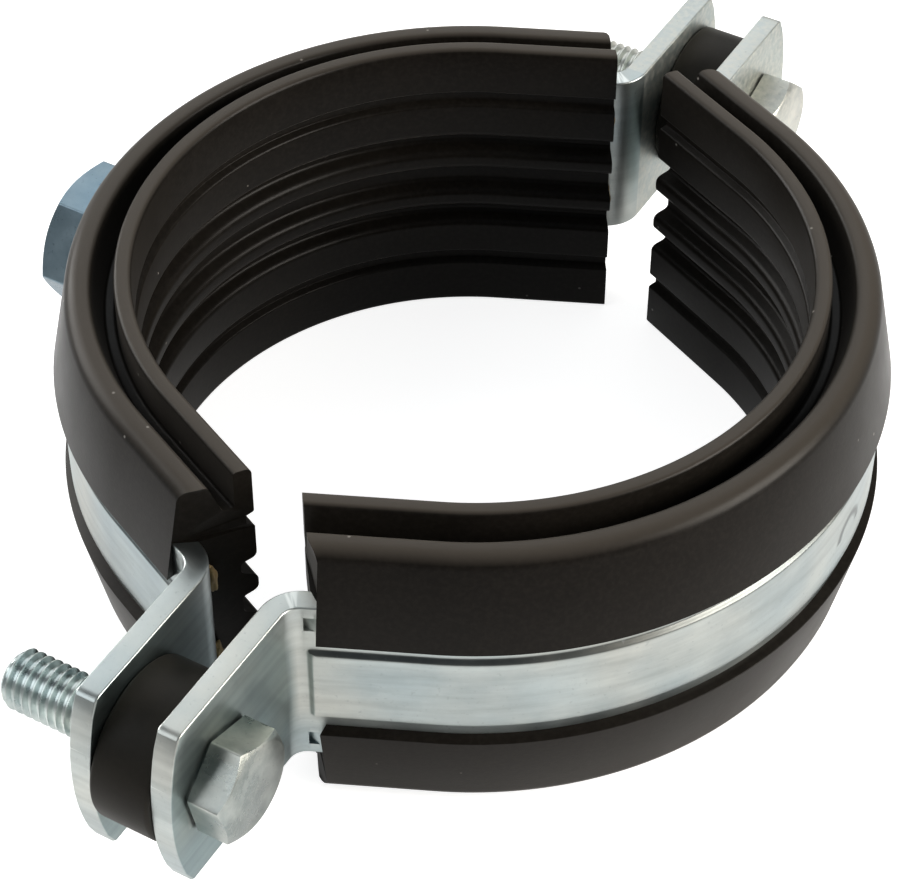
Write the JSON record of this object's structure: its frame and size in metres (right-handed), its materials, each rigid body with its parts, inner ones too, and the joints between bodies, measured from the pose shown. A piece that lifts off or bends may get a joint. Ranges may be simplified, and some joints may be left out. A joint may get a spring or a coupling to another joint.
{
  "type": "pipe clamp",
  "caption": "Two-screw steel pipe clamp with rubber liner and a threaded connection nut, holding a pipe from a rod or stud.",
  "frame": {"origin": "on the pipe's axis, at the middle of the clamp's height", "axes": "+Z along the pipe's axis; +X through the plain half, so the half with the connection nut is at -X; the screws lie along X at -Y (front) and +Y (rear)"},
  "size_m": [0.121, 0.1676, 0.047],
  "materials": {
    "zinc_strip": "zinc plated, satin, faint scratches",
    "liner_rubber": "moulded rubber, soft sheen, fine pale specks",
    "zinc_nut": "blue-grey zinc plated",
    "adhesive": "dried tan adhesive",
    "zinc_screw": "zinc plated, bright, wrench-worn edges",
    "sleeve_rubber": "plain black-brown rubber"
  },
  "bodies": {
    "fixed_half": {"clamp_half_left": "zinc_strip", "liner_left": "liner_rubber", "connection_nut": "zinc_nut", "adhesive_left": "adhesive"},
    "moving_half": {"clamp_half_right": "zinc_strip", "liner_right": "liner_rubber", "adhesive_right": "adhesive", "spacer_sleeve_front": "sleeve_rubber", "spacer_sleeve_rear": "sleeve_rubber"},
    "front_screw": {"screw_front": "zinc_screw"},
    "rear_screw": {"screw_rear": "zinc_screw"}
  },
  "joints": [
    {"name": "clamp_opening", "type": "slide", "parent": "fixed_half", "child": "moving_half", "axis": [1, 0, 0], "range_m": [0, 0.015]},
    {"name": "front_screw_turn", "type": "hinge", "parent": "moving_half", "child": "front_screw", "pos_m": [0, -0.0731, 0], "axis": [1, 0, 0], "range_deg": [0, 4320]},
    {"name": "rear_screw_turn", "type": "hinge", "parent": "moving_half", "child": "rear_screw", "pos_m": [0, 0.0731, 0], "axis": [1, 0, 0], "range_deg": [0, 4320]}
  ],
  "couplings": [
    {"joint": "front_screw_turn", "follows": "clamp_opening", "rad_per_m": 5026.5},
    {"joint": "rear_screw_turn", "follows": "clamp_opening", "rad_per_m": 5026.5}
  ]
}
